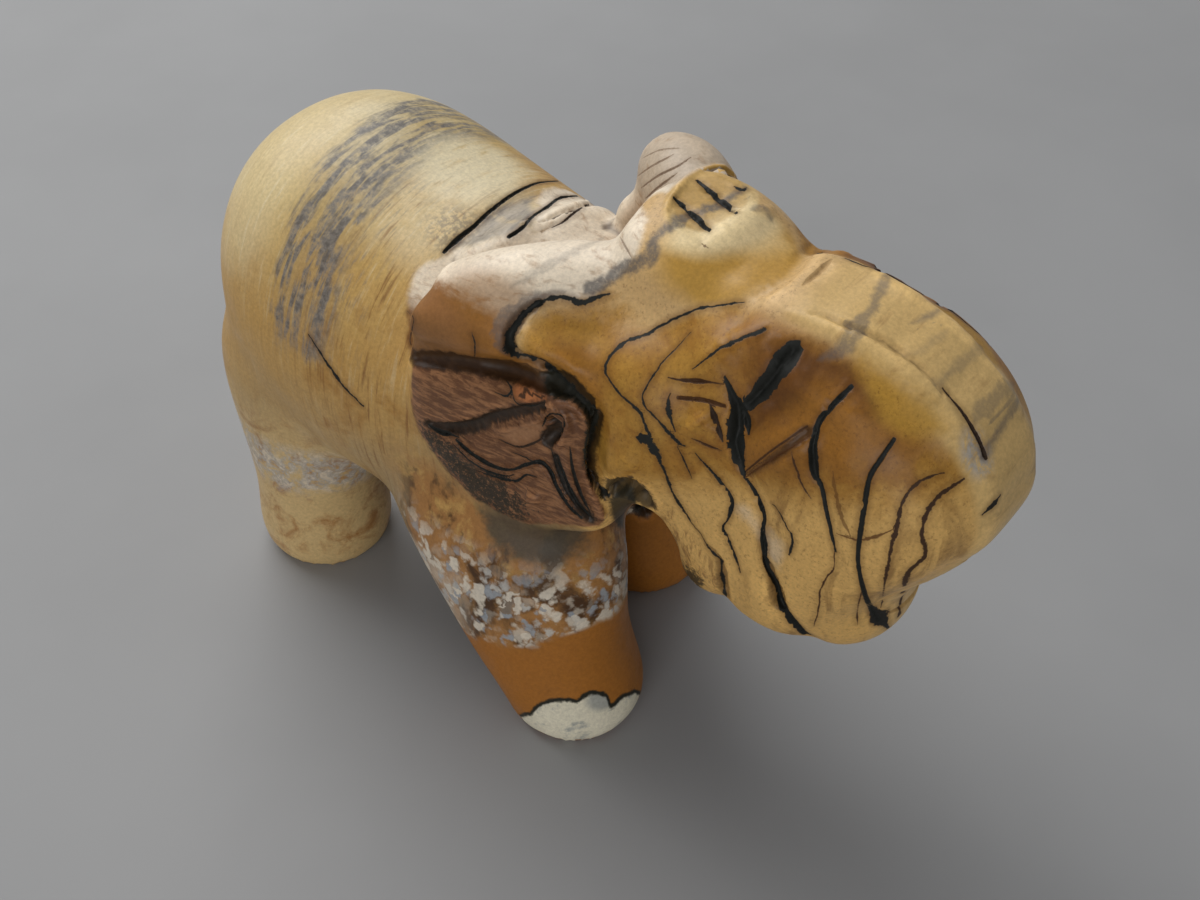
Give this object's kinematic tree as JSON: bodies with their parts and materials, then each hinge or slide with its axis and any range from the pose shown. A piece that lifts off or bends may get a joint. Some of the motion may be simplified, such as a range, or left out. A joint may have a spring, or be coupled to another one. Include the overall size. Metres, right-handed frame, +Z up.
{
  "type": "carved stone elephant figurine",
  "caption": "Small elephant figurine carved from banded agate, with its trunk curled back over its head. It stands on four flat soles.",
  "frame": {"origin": "middle of the bounding box, on the plane of the four soles", "axes": "+Z up; the elephant faces -Y, so its right side is at -X and its left side at +X"},
  "size_m": [0.0288, 0.0676, 0.0471],
  "materials": {
    "banded_agate": null
  },
  "bodies": {
    "root": {"elephant": "banded_agate"}
  },
  "joints": []
}
